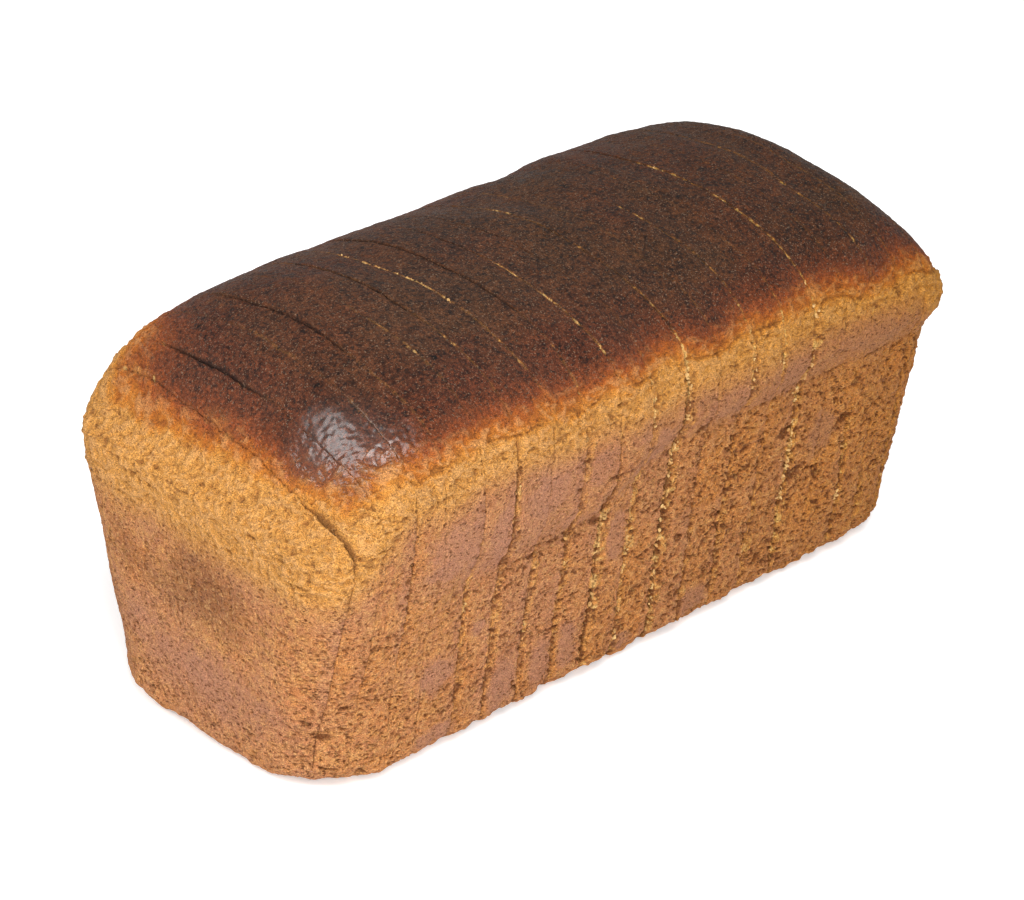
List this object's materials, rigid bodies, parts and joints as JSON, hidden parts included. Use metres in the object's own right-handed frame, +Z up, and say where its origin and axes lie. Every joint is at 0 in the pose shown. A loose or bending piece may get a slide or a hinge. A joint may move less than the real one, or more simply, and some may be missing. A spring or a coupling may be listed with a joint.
{
  "type": "sliced tin loaf",
  "caption": "Dark rye tin loaf with a domed, browned top and straight pressed sides, cut into upright slices that stand together as baked.",
  "frame": {"origin": "middle of the loaf's base, on the surface it stands on", "axes": "+X along the loaf from the near heel to the far heel, +Y across it, +Z up"},
  "size_m": [0.215, 0.0984, 0.1036],
  "materials": {
    "crust": "baked rye crust, dry and pitted on the pressed sides, darker with a soft sheen on top"
  },
  "bodies": {
    "root": {"heel_near": "crust", "slice_01": "crust", "slice_02": "crust", "slice_03": "crust", "slice_04": "crust", "slice_05": "crust", "slice_06": "crust", "slice_07": "crust", "slice_08": "crust", "slice_09": "crust", "slice_10": "crust", "slice_11": "crust", "slice_12": "crust", "slice_13": "crust", "slice_14": "crust", "slice_15": "crust", "slice_16": "crust", "slice_17": "crust", "slice_18": "crust", "heel_far": "crust"}
  },
  "joints": []
}
